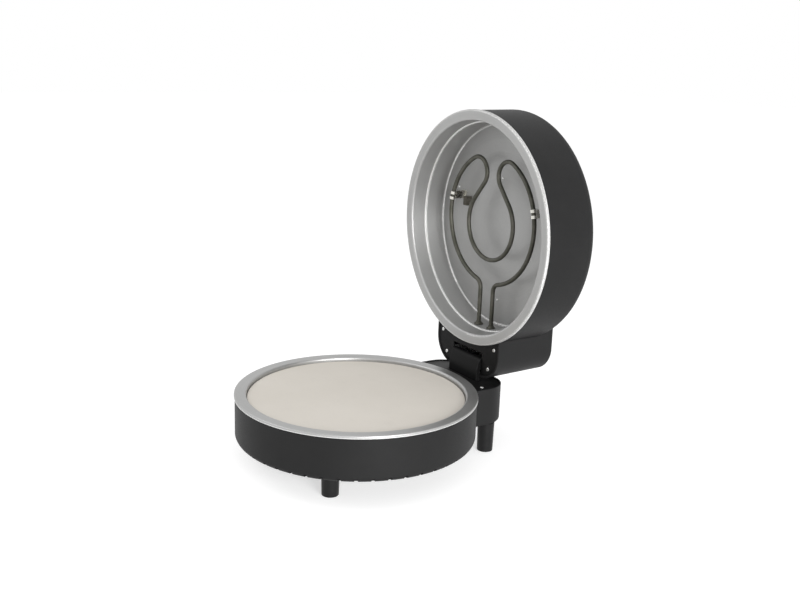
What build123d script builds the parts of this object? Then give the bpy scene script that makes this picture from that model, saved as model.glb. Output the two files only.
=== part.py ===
from build123d import *
import math
import os

# Electric pizza maker: a round stone-topped base and a domed lid of the same
# diameter, joined by a concealed gooseneck hinge between two rear housings.
# Millimetres, +Z up. The lid is modelled standing open. The origin lies on the
# floor, half way between the front of the base and the back of the open lid.

# ---- driving dimensions ----------------------------------------------------
rim_radius = 175.0            # outer lip of the base ring and of the lid rim
rim_lip_depth = 4.0           # rolled lip, turned towards the painted wall
sheet = 0.8                   # pressed sheet of both pans
pan_bend = 3.0                # where a pan turns into its recess
lip_bend = 1.2                # outer roll of the lip
foot_plane_drop = 106.0       # from the ring's top face down to the floor

lip_overhang = 1.0            # the lip stands out over the painted walls
drum_wall = 1.5
wall_gap = 0.6                # shadow gap between lip and painted wall
rebate = 0.7                  # the wall steps in where the pan seats on it

ring_width = 17.5             # flat ring between the lip and the recess
stone_recess = 6.0            # stone face under the ring's top face
stone_thickness = 10.0
stone_clearance = 0.8         # all round in the recess
stone_seat_gap = 0.3          # stone over its ledge
stone_top_chamfer = 1.0
stone_foot_chamfer = 2.5
ledge_width = 8.0             # shoulder that carries the stone
well_depth = 40.0             # ring face to well floor
base_depth = 66.0             # ring face to the underside of the base
base_floor = 1.5
base_edge_round = 8.0

vent_count = 48               # round the full circle; none behind the housing
vent_width = 5.0
vent_height = 5.5
vent_reach = 9.0
vent_skip_angle = 33.0        # each side of the housing's middle

lid_rim_width = 16.0          # flat rim of the lid
lid_step_depth = 26.5         # first wall of the lid pan
lid_step_width = 2.0
lid_step_bend = 0.8
lid_draft = 1.2               # each pan wall narrows by this much
lid_plate_depth = 59.5        # rim plane to the reflector plate
lid_depth = 91.5              # rim plane to the top of the lid
lid_edge_round = 15.0
blanket_thickness = 14.0      # insulation laid on the reflector plate
blanket_margin = 6.0

heater_tube_radius = 3.3
heater_leg_spacing = 31.0
heater_bend_radius = 14.0     # where a leg turns out into the wide sweep
heater_sweep_inset = 59.5     # wide sweep to the wall of the recess
heater_sweep_x = 3.5          # centre of each wide sweep
heater_sweep_y = -11.5
heater_end_radius = 22.5      # tight return at the far end
heater_end_angle = -64.2      # bearing of the return from the sweep's centre
heater_eye_inset = 44.0       # inner loop inside the wide sweeps
heater_eye_y = -4.0
heater_leg_reach = 3.5        # cold end of a leg beyond the painted wall
upper_heater_depth = 37.0     # rim plane to tube centre
lower_heater_depth = 30.0     # ring face to tube centre
heater_hole_play = 0.6
terminal_seal_length = 4.0
terminal_seal_radius = 4.2
terminal_pin_length = 4.0
terminal_pin_radius = 1.5
clip_band = 1.0               # strap round the tube
clip_width = 13.0
clip_play = 0.45
clip_stem_width = 2.4
clip_foot_length = 10.0
clip_sweep_bearings = (-14.0, 194.0)
clip_eye_bearing = 90.0       # only under the stone
clip_groove = 4.0             # between the two bands of a strap
sensor_length = 14.0
sensor_width = 9.0
sensor_height = 9.5
sensor_x = -84.0
sensor_y = -27.0

hinge_offset = 31.0           # lip to hinge axis
hinge_rise = 17.0             # hinge axis over the ring face
closing_gap = 0.4             # between lid rim and ring when shut
open_angle = 90.0

housing_half_width = 78.0
housing_corner = 40.0
base_housing_back = 17.0      # hinge axis to the rear face of each housing
lid_housing_back = 15.0
lid_housing_draft = 0.9       # degrees
housing_wall = 2.5
housing_seam = 0.3            # between a housing and its drum
base_housing_lap = 55.0       # how far the block is drawn under the drum
base_housing_top = 3.0        # under the ring face
base_housing_bottom = 60.0
base_housing_round = 4.5
lid_housing_lap = 51.0        # lip to the front of the raised control hump
lid_housing_nose = 22.0       # its corner radius
lid_housing_front = 5.0       # rim plane to the housing's edge
lid_hump_rise = 20.5          # housing top over the lid's top
lid_housing_round = 6.0
cover_thickness = 2.5
cover_sink = 1.2              # cover face below the housing's edge
cover_play = 0.3

bracket_width = 70.0
bracket_thickness = 6.0
bracket_front_offset = 18.0   # front face of the upright, before the hinge axis
bracket_foot_reach = 9.0      # end of its foot, behind the hinge axis
bracket_foot_bend = 7.0
bracket_lean_height = 9.0     # over the ring face, where the upright leans back
bracket_lean_bend = 45.0
bracket_top_back = 5.3        # top of the gooseneck, behind the upright
bracket_top_height = 32.5
bracket_top_bend = 4.2
bracket_eye_radius = 7.5
bracket_side_play = 1.5
slot_lead = 22.0              # opening in the lid cover, before the hinge axis
slot_trail = 8.0
base_slot_play = 1.2

pin_radius = 4.0
pin_running_play = 0.05
pin_press_play = 0.02
pin_end = 2.0                 # pin beyond its clip
pin_chamfer = 0.5
ear_thickness = 4.0
ear_play = 1.2                # bracket side to ear
ear_lead = 15.0               # ears before and behind the hinge axis
ear_trail = 11.0
ear_height = 34.0
ear_corner = 8.0
tie_thickness = 3.0
ear_flange_width = 23.0
ear_flange_length = 12.0
ear_flange_thickness = 2.5
pin_clip_radius = 5.2
pin_clip_thickness = 1.2

foot_radius = 12.7
foot_tip_radius = 11.8
foot_edge_round = 1.0
foot_bore_radius = 5.0
foot_web = 6.0                # solid top of a foot
foot_pad_radius = 9.0
foot_pad_height = 2.5
foot_pad_proud = 0.8
front_foot_inset = 48.0       # from the lip, along the bearing
front_foot_bearing = 45.5
rear_foot_inset = 15.0        # from the housing's side
rear_foot_lead = 16.0         # before the hinge axis

screw_radius = 2.0
screw_head_radius = 2.9
screw_head_height = 1.2
screw_play = 0.15
screw_head_chamfer = 0.7
screw_depth = 9.0
pillar_radius = 5.0
base_cover_screw_inset = 14.0 # right, from the housing's side
base_cover_screw_lead = 28.0  # before the hinge axis
left_cover_screw_inset = 30.0 # left, behind the bracket
left_cover_screw_trail = 5.0   # behind the hinge axis
lid_cover_screw_inset = 13.0
lid_cover_screw_lead = 34.0
frame_screw_inset = 6.2       # from the flange's outer edge
frame_screw_lead = 1.0
bracket_screw_xs = (-26.0, -10.0, 10.0, 26.0)
bracket_screw_radius = 2.5
bracket_screw_head = 4.5

handle_inset = 71.0           # lip to the middle of the handle
handle_half_span = 48.0
handle_rise = 31.0
handle_bar = 10.0
handle_width = 24.0
handle_bend = 16.0
handle_round = 3.0
handle_screw_depth = 14.0

knob_lead = 30.0              # before the hinge axis
knob_radius = 21.0
knob_height = 16.0
knob_gap = 0.6
knob_draft = 2.0
knob_round = 1.5
knob_flutes = 16
knob_flute_radius = 2.2
knob_floor = 5.0
shaft_radius = 3.0
shaft_flat = 1.0
shaft_length = 12.0           # above the housing's top
dial_radius = 33.0
dial_thickness = 1.0
thermostat_width = 34.0
thermostat_length = 26.0
thermostat_height = 11.0
lens_radius = 5.0
lens_rise = 2.0
lens_stem_radius = 3.8
lens_x = 52.0
lens_lead = 54.0
lamp_radius = 4.4
lamp_length = 11.0

gland_depth = 36.0            # ring face to the cord entry
gland_bore_radius = 3.4
gland_neck_radius = 6.0
gland_flange_radius = 9.0
gland_flange = 2.5
gland_nose = 9.0
gland_nose_radius = 5.2

block_inset = 30.0            # from the side of the housing
block_lead = 6.0              # before the hinge axis
block_width = 21.0
block_length = 18.0
block_height = 14.0
block_ways = 3
block_slot_length = 12.6
block_slot_width = 4.2
block_slot_depth = 5.6

shield_inset = 15.0           # from the wall of the recess
shield_depth = 51.0
shield_lip = 5.0
post_radius = 6.0
post_neck_radius = 3.5
post_circle = 95.0
post_count = 3
post_bearing = 30.0
fuse_radius = 3.0
fuse_length = 22.0
fuse_y = 60.0

# ---- places that follow from them ------------------------------------------
drum_radius = rim_radius - lip_overhang       # painted walls of base and lid
well_mouth_radius = rim_radius - ring_width
lid_mouth_radius = rim_radius - lid_rim_width
heater_sweep_radius = well_mouth_radius - heater_sweep_inset
heater_eye_radius = heater_sweep_radius - heater_eye_inset
heater_leg_end = drum_radius + heater_leg_reach
shield_radius = well_mouth_radius - shield_inset
hinge_reach = rim_radius + hinge_offset       # round axis to hinge axis
base_housing_end = hinge_reach + base_housing_back
block_x = housing_half_width - block_inset
lid_housing_end = hinge_reach + lid_housing_back
base_housing_start = rim_radius - base_housing_lap
lid_housing_start = rim_radius - lid_housing_lap
lid_housing_depth = lid_depth + lid_hump_rise
bracket_front = hinge_reach - bracket_front_offset
bracket_foot_end = hinge_reach + bracket_foot_reach
slot_front = hinge_reach - slot_lead
slot_back = hinge_reach + slot_trail
ear_front = hinge_reach - ear_lead
ear_back = hinge_reach + ear_trail
front_foot_circle = rim_radius - front_foot_inset
front_foot_x = front_foot_circle * math.cos(math.radians(front_foot_bearing))
front_foot_y = -front_foot_circle * math.sin(math.radians(front_foot_bearing))
rear_foot_x = housing_half_width - rear_foot_inset
rear_foot_y = hinge_reach - rear_foot_lead
base_cover_screw_x = housing_half_width - base_cover_screw_inset
base_cover_screw_y = hinge_reach - base_cover_screw_lead
left_cover_screw_x = left_cover_screw_inset - housing_half_width
left_cover_screw_y = hinge_reach + left_cover_screw_trail
lid_cover_screw_x = housing_half_width - lid_cover_screw_inset
lid_cover_screw_y = hinge_reach - lid_cover_screw_lead
frame_screw_y = hinge_reach - frame_screw_lead
handle_y = handle_inset - rim_radius
knob_y = hinge_reach - knob_lead
lens_y = hinge_reach - lens_lead
block_y = hinge_reach - block_lead
half_sheet = sheet / 2
ledge_depth = stone_recess + stone_thickness + stone_seat_gap
wall_start = rim_lip_depth + wall_gap
hinge_over_rim = hinge_rise - closing_gap
knob_base = lid_housing_depth + dial_thickness + knob_gap
rear_reach = hinge_reach - hinge_over_rim + max(lid_depth + handle_rise, knob_base + knob_height)
axis_y = -(rear_reach - rim_radius) / 2
base_cover_face = base_housing_top + cover_sink
lid_cover_face = lid_housing_front + cover_sink
lid_cover_back = lid_cover_face + cover_thickness
base_inner_floor = base_housing_bottom - housing_wall
ear_inside = bracket_width / 2 + ear_play
ear_outside = ear_inside + ear_thickness
frame_screw_x = ear_inside + ear_flange_width - frame_screw_inset

opening = math.radians(open_angle)
lid_along = Vector(0, math.cos(opening), -math.sin(opening))
lid_out = Vector(0, math.sin(opening), math.cos(opening))
hinge_point = Vector(0, axis_y + hinge_reach, foot_plane_drop + hinge_rise)
lid_centre = hinge_point - lid_along * hinge_reach - lid_out * hinge_over_rim
base_frame = Plane((0, axis_y, foot_plane_drop))          # z: height over the ring
lid_frame = Plane(lid_centre, x_dir=(1, 0, 0), z_dir=lid_out)   # z: depth from the rim

os.makedirs("parts", exist_ok=True)


# ---- helpers ---------------------------------------------------------------
def profile_of(frame):
    """Half-section plane: local x is the radius, y runs along the frame's axis."""
    return Plane(frame.origin, x_dir=frame.x_dir, z_dir=-frame.y_dir)


def side_of(frame, x):
    """Plane facing +X at x: local x runs towards the hinge, y along the axis."""
    return Plane(frame.from_local_coords((x, 0, 0)), x_dir=frame.y_dir, z_dir=frame.x_dir)


def across(frame, y):
    """Plane facing away from the hinge at y: local x is the width, y along the axis."""
    return Plane(frame.from_local_coords((0, y, 0)), x_dir=frame.x_dir, z_dir=-frame.y_dir)


def axis_of(frame):
    return Axis(frame.origin, frame.z_dir)


def export(piece, name):
    piece.part.label = name
    export_step(piece.part, f"parts/{name}.step")


def sheet_form(frame, points, bends):
    """Pressed sheet turned about the frame's axis; points are its middle line."""
    with BuildPart() as pressing:
        with BuildSketch(profile_of(frame)):
            with BuildLine():
                FilletPolyline(*points, radius=bends)
            trace(line_width=sheet)
        revolve(axis=axis_of(frame))
    return pressing.part


def drum_form(frame, down, depth, floor, edge_round):
    """Painted wall and closed end; down is -1 for the base, 1 for the lid."""
    inner = drum_radius - drum_wall
    land = drum_radius - rebate
    outline = [
        (drum_radius, down * wall_start),
        (drum_radius, down * depth),
        (0, down * depth),
        (0, down * (depth - floor)),
        (inner, down * (depth - floor)),
        (inner, down * sheet),
        (land, down * sheet),
        (land, down * wall_start),
    ]
    with BuildPart() as drum:
        with BuildSketch(profile_of(frame)):
            with BuildLine():
                FilletPolyline(
                    *outline, radius=[0, edge_round, 0, 0, edge_round - drum_wall, 0, 0, 0], close=True,
                )
            make_face()
        revolve(axis=axis_of(frame))
    return drum.part


def housing_form(frame, span, nose, low, high, inset, drum_end, drum_round, top_round, draft):
    """D-shaped block against a drum, drawn in by inset on every side but low."""
    half = housing_half_width - inset
    end = span[1] - inset
    grow = housing_seam + inset
    corner = housing_corner - inset
    front = span[0] + inset
    with BuildPart() as block:
        with BuildSketch(frame.offset(low)):
            with BuildLine():
                FilletPolyline(
                    (-half, front), (-half, end), (half, end), (half, front),
                    radius=[nose, corner, corner, nose], close=True,
                )
            make_face()
        extrude(amount=high - low, taper=draft)
        if top_round > inset:
            far = high if abs(high) > abs(low) else low
            rim = block.faces().filter_by(Axis(frame.origin, frame.z_dir)).sort_by(
                Axis(frame.origin, frame.z_dir if far > 0 else -frame.z_dir))[-1]
            fillet(rim.edges(), top_round - inset)
        with BuildSketch(profile_of(frame)):
            down = 1 if drum_end > 0 else -1
            with BuildLine():
                FilletPolyline(
                    (0, -down * housing_half_width), (drum_radius + grow, -down * housing_half_width),
                    (drum_radius + grow, drum_end + down * grow), (0, drum_end + down * grow),
                    radius=[0, 0, drum_round + grow, 0], close=True,
                )
            make_face()
        revolve(axis=axis_of(frame), mode=Mode.SUBTRACT)
    return block.part


def heater_form(frame, depth):
    """Looped tubular element: legs, wide sweeps, far returns and an inner eye."""
    leg_x = heater_leg_spacing / 2
    sweep_centre = Vector(heater_sweep_x, heater_sweep_y)
    bend_reach = heater_sweep_radius + heater_bend_radius
    bend_x = leg_x + heater_bend_radius
    bend_y = heater_sweep_y + math.sqrt(bend_reach**2 - (bend_x - heater_sweep_x) ** 2)
    bend_centre = Vector(bend_x, bend_y)
    away = Vector(1, 0).rotate(Axis.Z, heater_end_angle)
    end_centre = sweep_centre + away * (heater_sweep_radius - heater_end_radius)
    eye_centre = Vector(0, heater_eye_y)
    to_eye = eye_centre - end_centre
    crossing = math.degrees(math.asin((heater_end_radius + heater_eye_radius) / to_eye.length))
    to_left = to_eye.normalized().rotate(Axis.Z, 90 - crossing)

    leg_top = Vector(leg_x, bend_y)
    sweep_start = sweep_centre + (bend_centre - sweep_centre) * (heater_sweep_radius / bend_reach)
    sweep_end = sweep_centre + away * heater_sweep_radius
    end_leave = end_centre + to_left * heater_end_radius
    eye_meet = eye_centre - to_left * heater_eye_radius
    eye_foot = (0, heater_eye_y + heater_eye_radius)

    def on_arc(centre, first, last, radius, far_side=1):
        middle = (first - centre).normalized() + (last - centre).normalized()
        return centre + middle.normalized() * radius * far_side

    bend_middle = on_arc(bend_centre, leg_top, sweep_start, heater_bend_radius)
    sweep_middle = on_arc(sweep_centre, sweep_start, sweep_end, heater_sweep_radius)
    end_middle = on_arc(end_centre, sweep_end, end_leave, heater_end_radius)

    def handed(point, hand):
        return (hand * point.X, point.Y)

    with BuildPart() as element:
        with BuildLine(frame.offset(depth)) as path:
            for hand in (1, -1):
                Line((hand * leg_x, heater_leg_end), handed(leg_top, hand))
                ThreePointArc(*[handed(p, hand) for p in (leg_top, bend_middle, sweep_start)])
                ThreePointArc(*[handed(p, hand) for p in (sweep_start, sweep_middle, sweep_end)])
                ThreePointArc(*[handed(p, hand) for p in (sweep_end, end_middle, end_leave)])
                Line(handed(end_leave, hand), handed(eye_meet, hand))
            ThreePointArc(handed(eye_meet, 1), eye_foot, handed(eye_meet, -1))
        with BuildSketch(across(frame, heater_leg_end)):
            with Locations((leg_x, depth)):
                Circle(heater_tube_radius)
        sweep(path=path.wires()[0])
    return element.part


def leg_holes(frame, depth, near, far, radius):
    """Round bores for both heater legs, between two distances from the axis."""
    with BuildPart() as bores:
        with BuildSketch(across(frame, near)):
            with Locations((-heater_leg_spacing / 2, depth), (heater_leg_spacing / 2, depth)):
                Circle(radius)
        extrude(amount=near - far)
    return bores.part


def screw_form(plane, spots, head_radius, head_height, radius, length):
    """Pan-head screws: the plane is the seat under the head, facing outwards."""
    with BuildPart() as screws:
        with BuildSketch(plane):
            with Locations(*spots):
                Circle(head_radius)
        extrude(amount=head_height)
        chamfer(screws.faces().sort_by(axis_of(plane))[-len(spots):].edges(), screw_head_chamfer)
        with BuildSketch(plane):
            with Locations(*spots):
                Circle(radius)
        extrude(amount=-length)
    return screws.part


def drill(plane, spots, radius, length):
    """Cutting cylinders that run in from the plane, against its normal."""
    with BuildPart() as cutters:
        with BuildSketch(plane):
            with Locations(*spots):
                Circle(radius)
        extrude(amount=-length)
    return cutters.part


heater_hole_radius = heater_tube_radius + heater_hole_play

# ---- base: painted wall, pan and stone -------------------------------------
foot_spots = [
    (-front_foot_x, front_foot_y), (front_foot_x, front_foot_y),
    (-rear_foot_x, rear_foot_y), (rear_foot_x, rear_foot_y),
]
front_spots = foot_spots[:2]
rear_spots = foot_spots[2:]
post_spots = [
    (post_circle * math.cos(math.radians(post_bearing + 360 * turn / post_count)),
     post_circle * math.sin(math.radians(post_bearing + 360 * turn / post_count)))
    for turn in range(post_count)
]

with BuildPart() as base_shell:
    add(drum_form(base_frame, -1, base_depth, base_floor, base_edge_round))
    vent_step = 360 / vent_count
    for turn in range(vent_count):
        bearing = turn * vent_step
        if abs(bearing - 90) < vent_skip_angle:
            continue
        vent_axis = Plane(base_frame.origin, x_dir=Vector(1, 0).rotate(Axis.Z, bearing), z_dir=(0, 0, 1))
        with BuildSketch(vent_axis.offset(-base_depth)):
            with Locations((drum_radius, 0)):
                Rectangle(2 * vent_reach, vent_width)
        extrude(amount=vent_height, mode=Mode.SUBTRACT)
    add(leg_holes(base_frame, -lower_heater_depth, drum_radius - 3 * drum_wall, base_housing_end,
                  heater_hole_radius), mode=Mode.SUBTRACT)
    add(drill(base_frame.offset(-base_depth + base_floor), front_spots, screw_radius + screw_play,
              base_floor), mode=Mode.SUBTRACT)
export(base_shell, "base_shell")

with BuildPart() as base_pan:
    well_radius = well_mouth_radius - ledge_width
    add(sheet_form(
        base_frame,
        [
            (rim_radius - half_sheet, -rim_lip_depth),
            (rim_radius - half_sheet, -half_sheet),
            (well_mouth_radius + half_sheet, -half_sheet),
            (well_mouth_radius + half_sheet, -ledge_depth - half_sheet),
            (well_radius + half_sheet, -ledge_depth - half_sheet),
            (well_radius + half_sheet, -well_depth - half_sheet),
            (0, -well_depth - half_sheet),
        ],
        [lip_bend, pan_bend, pan_bend, half_sheet * 2, pan_bend],
    ))
    add(leg_holes(base_frame, -lower_heater_depth, well_radius - 3 * pan_bend, drum_radius,
                  heater_hole_radius), mode=Mode.SUBTRACT)
export(base_pan, "base_pan")

with BuildPart() as baking_stone:
    with BuildSketch(base_frame.offset(-stone_recess - stone_thickness)):
        Circle(well_mouth_radius - stone_clearance)
    extrude(amount=stone_thickness)
    chamfer(baking_stone.faces().sort_by(Axis.Z)[-1].edges(), stone_top_chamfer)
    chamfer(baking_stone.faces().sort_by(Axis.Z)[0].edges(), stone_foot_chamfer)
export(baking_stone, "baking_stone")

with BuildPart() as heat_shield:
    add(sheet_form(
        base_frame,
        [
            (shield_radius - half_sheet, -shield_depth + shield_lip),
            (shield_radius - half_sheet, -shield_depth + half_sheet),
            (0, -shield_depth + half_sheet),
        ],
        [pan_bend],
    ))
    add(drill(base_frame.offset(-shield_depth + 2 * sheet), post_spots,
              post_neck_radius + screw_play, 3 * sheet), mode=Mode.SUBTRACT)
export(heat_shield, "heat_shield")

with BuildPart() as shield_posts:
    with BuildSketch(base_frame.offset(-base_depth + base_floor)):
        with Locations(*post_spots):
            Circle(post_radius)
    extrude(amount=base_depth - base_floor - shield_depth)
    with BuildSketch(base_frame.offset(-shield_depth)):
        with Locations(*post_spots):
            Circle(post_neck_radius)
    extrude(amount=shield_depth - well_depth - sheet)
export(shield_posts, "shield_posts")

with BuildPart() as thermal_fuse:
    with BuildSketch(side_of(base_frame, -fuse_length / 2)):
        with Locations((fuse_y, -well_depth - sheet - fuse_radius)):
            Circle(fuse_radius)
    extrude(amount=fuse_length)
export(thermal_fuse, "thermal_fuse")

# ---- heating elements ------------------------------------------------------
with BuildPart() as lower_heater:
    add(heater_form(base_frame, -lower_heater_depth))
export(lower_heater, "lower_heater")

with BuildPart() as upper_heater:
    add(heater_form(lid_frame, upper_heater_depth))
export(upper_heater, "upper_heater")


def clip_form(frame, depth, plate, bearings):
    """Double-banded straps that tie the element down to the plate."""
    inside = heater_tube_radius + clip_play
    outside = inside + clip_band
    with BuildPart() as clips:
        for bearing in bearings:
            hand = 1 if math.cos(math.radians(bearing)) > 0 else -1
            if abs(math.cos(math.radians(bearing))) < 0.5:
                centre = Vector(0, heater_eye_y)
                radius = heater_eye_radius
            else:
                centre = Vector(hand * heater_sweep_x, heater_sweep_y)
                radius = heater_sweep_radius
            radial = Vector(1, 0).rotate(Axis.Z, bearing)
            spot = centre + radial * radius
            local = Plane(
                frame.from_local_coords((spot.X, spot.Y, depth)),
                x_dir=frame.x_dir * radial.X + frame.y_dir * radial.Y,
                z_dir=frame.x_dir * -radial.Y + frame.y_dir * radial.X,
            )
            toward = 1 if local.y_dir.dot(frame.z_dir) * (plate - depth) > 0 else -1
            reach = abs(plate - depth)
            with BuildSketch(local.offset(-clip_width / 2)):
                with Locations((0, toward * reach / 2)):
                    Rectangle(clip_stem_width, reach)
                with Locations((0, toward * (reach - clip_band / 2))):
                    Rectangle(clip_foot_length, clip_band)
                Circle(inside, mode=Mode.SUBTRACT)
            extrude(amount=clip_width)
            for low in (-clip_width / 2, clip_groove / 2):
                with BuildSketch(local.offset(low)):
                    Circle(outside)
                    Circle(inside, mode=Mode.SUBTRACT)
                extrude(amount=(clip_width - clip_groove) / 2)
    return clips.part


with BuildPart() as lower_heater_clips:
    add(clip_form(base_frame, -lower_heater_depth, -well_depth,
                  (*clip_sweep_bearings, clip_eye_bearing)))
export(lower_heater_clips, "lower_heater_clips")

with BuildPart() as upper_heater_clips:
    add(clip_form(lid_frame, upper_heater_depth, lid_plate_depth, clip_sweep_bearings))
export(upper_heater_clips, "upper_heater_clips")


def seal_form(frame, depth):
    """Ceramic end seals on the two cold ends of an element."""
    return leg_holes(frame, depth, heater_leg_end, heater_leg_end + terminal_seal_length,
                     terminal_seal_radius)


def pin_form(frame, depth):
    """Terminal pins that stand out of the end seals."""
    near = heater_leg_end + terminal_seal_length
    return leg_holes(frame, depth, near, near + terminal_pin_length, terminal_pin_radius)


with BuildPart() as lower_terminal_seals:
    add(seal_form(base_frame, -lower_heater_depth))
export(lower_terminal_seals, "lower_terminal_seals")

with BuildPart() as lower_terminal_pins:
    add(pin_form(base_frame, -lower_heater_depth))
export(lower_terminal_pins, "lower_terminal_pins")

with BuildPart() as upper_terminal_seals:
    add(seal_form(lid_frame, upper_heater_depth))
export(upper_terminal_seals, "upper_terminal_seals")

with BuildPart() as upper_terminal_pins:
    add(pin_form(lid_frame, upper_heater_depth))
export(upper_terminal_pins, "upper_terminal_pins")

# ---- base hinge housing ----------------------------------------------------
base_cover_spots = [(base_cover_screw_x, base_cover_screw_y), (left_cover_screw_x, left_cover_screw_y)]
bracket_spots = [(x, hinge_reach) for x in bracket_screw_xs]


def base_housing_block(inset, low, high, top_round):
    return housing_form(base_frame, (base_housing_start, base_housing_end), 0, low, high, inset,
                        -base_depth - housing_half_width, 0, top_round, 0)


with BuildPart() as base_hinge_housing:
    add(base_housing_block(0, -base_housing_bottom, -base_housing_top, base_housing_round))
    add(base_housing_block(housing_wall, -base_inner_floor, 0, 0), mode=Mode.SUBTRACT)
    with BuildSketch(base_frame.offset(-wall_start)):
        Circle(rim_radius + housing_seam)
    extrude(amount=wall_start, mode=Mode.SUBTRACT)
    with BuildSketch(base_frame.offset(-base_inner_floor)):
        with Locations(*base_cover_spots):
            Circle(pillar_radius)
    extrude(amount=base_inner_floor - base_cover_face - cover_thickness)
    add(drill(base_frame.offset(-base_cover_face - cover_thickness), base_cover_spots,
              screw_radius + screw_play, screw_depth), mode=Mode.SUBTRACT)
    add(drill(base_frame.offset(-base_inner_floor), rear_spots, screw_radius + screw_play,
              housing_wall), mode=Mode.SUBTRACT)
    add(drill(base_frame.offset(-base_inner_floor), bracket_spots, bracket_screw_radius + screw_play,
              housing_wall), mode=Mode.SUBTRACT)
    add(leg_holes(base_frame, -lower_heater_depth, drum_radius - housing_wall,
                  drum_radius + 2 * housing_wall, terminal_seal_radius + heater_hole_play),
        mode=Mode.SUBTRACT)
    with BuildSketch(across(base_frame, base_housing_end - 2 * housing_wall)):
        with Locations((0, -gland_depth)):
            Circle(gland_neck_radius + screw_play)
    extrude(amount=-3 * housing_wall, mode=Mode.SUBTRACT)
export(base_hinge_housing, "base_hinge_housing")

with BuildPart() as base_hinge_cover:
    add(base_housing_block(housing_wall + cover_play, -base_cover_face - cover_thickness,
                           -base_cover_face, 0))
    with BuildSketch(base_frame.offset(-base_cover_face)):
        slot_low = bracket_front - base_slot_play
        slot_high = bracket_front + bracket_thickness + base_slot_play
        with Locations((0, (slot_low + slot_high) / 2)):
            Rectangle(bracket_width + 2 * bracket_side_play, slot_high - slot_low)
    extrude(amount=-cover_thickness, mode=Mode.SUBTRACT)
    add(drill(base_frame.offset(-base_cover_face), base_cover_spots, screw_radius + screw_play,
              cover_thickness), mode=Mode.SUBTRACT)
export(base_hinge_cover, "base_hinge_cover")

with BuildPart() as base_cover_screws:
    add(screw_form(base_frame.offset(-base_cover_face), base_cover_spots, screw_head_radius,
                   screw_head_height, screw_radius, screw_depth))
export(base_cover_screws, "base_cover_screws")

with BuildPart() as cord_gland:
    gland_axis = Plane(
        base_frame.from_local_coords((0, base_housing_end, -gland_depth)),
        x_dir=(1, 0, 0), z_dir=(0, 0, 1),
    )
    with BuildSketch(gland_axis):
        with BuildLine():
            Polyline(
                (gland_bore_radius, -housing_wall - gland_flange),
                (gland_flange_radius, -housing_wall - gland_flange),
                (gland_flange_radius, -housing_wall),
                (gland_neck_radius, -housing_wall),
                (gland_neck_radius, 0),
                (gland_flange_radius, 0),
                (gland_flange_radius, gland_flange),
                (gland_neck_radius, gland_flange),
                (gland_nose_radius, gland_nose),
                (gland_bore_radius, gland_nose),
                close=True,
            )
        make_face()
    revolve(axis=Axis(gland_axis.origin, (0, 1, 0)))
export(cord_gland, "cord_gland")

with BuildPart() as terminal_block:
    with BuildSketch(base_frame.offset(-base_inner_floor)):
        with Locations((block_x, block_y)):
            Rectangle(block_width, block_length)
    extrude(amount=block_height)
    way_pitch = block_width / block_ways
    with BuildSketch(base_frame.offset(-base_inner_floor + block_height)):
        for way in range(block_ways):
            with Locations((block_x + (way - (block_ways - 1) / 2) * way_pitch, block_y)):
                SlotOverall(block_slot_length, block_slot_width, rotation=90)
    extrude(amount=-block_slot_depth, mode=Mode.SUBTRACT)
export(terminal_block, "terminal_block")

# ---- hinge -----------------------------------------------------------------
with BuildPart() as hinge_bracket:
    upright = bracket_front + bracket_thickness / 2
    foot_height = -base_inner_floor + bracket_thickness / 2
    with BuildSketch(side_of(base_frame, -bracket_width / 2)):
        with BuildLine():
            FilletPolyline(
                (bracket_foot_end, foot_height),
                (upright, foot_height),
                (upright, bracket_lean_height),
                (upright + bracket_top_back, bracket_top_height),
                (hinge_reach, hinge_rise + bracket_eye_radius / 2),
                radius=[bracket_foot_bend, bracket_lean_bend, bracket_top_bend],
            )
        trace(line_width=bracket_thickness)
        with Locations((hinge_reach, hinge_rise)):
            Circle(bracket_eye_radius)
            Circle(pin_radius + pin_running_play, mode=Mode.SUBTRACT)
    extrude(amount=bracket_width)
    add(drill(base_frame.offset(-base_inner_floor + bracket_thickness), bracket_spots,
              bracket_screw_radius + screw_play, bracket_thickness), mode=Mode.SUBTRACT)
export(hinge_bracket, "hinge_bracket")

with BuildPart() as bracket_screws:
    add(screw_form(base_frame.offset(-base_inner_floor + bracket_thickness), bracket_spots,
                   bracket_screw_head, bracket_screw_head / 2, bracket_screw_radius,
                   bracket_thickness + housing_wall))
export(bracket_screws, "bracket_screws")

pin_half = ear_outside + pin_clip_thickness + pin_end
with BuildPart() as hinge_pin:
    with BuildSketch(side_of(lid_frame, -pin_half)):
        with Locations((hinge_reach, hinge_over_rim)):
            Circle(pin_radius)
    extrude(amount=2 * pin_half)
    chamfer(hinge_pin.edges().filter_by(GeomType.CIRCLE), pin_chamfer)
export(hinge_pin, "hinge_pin")

with BuildPart() as pin_clips:
    for hand in (-1, 1):
        with BuildSketch(side_of(lid_frame, hand * ear_outside)):
            with Locations((hinge_reach, hinge_over_rim)):
                Circle(pin_clip_radius)
                Circle(pin_radius + pin_press_play, mode=Mode.SUBTRACT)
        extrude(amount=hand * pin_clip_thickness)
export(pin_clips, "pin_clips")

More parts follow.
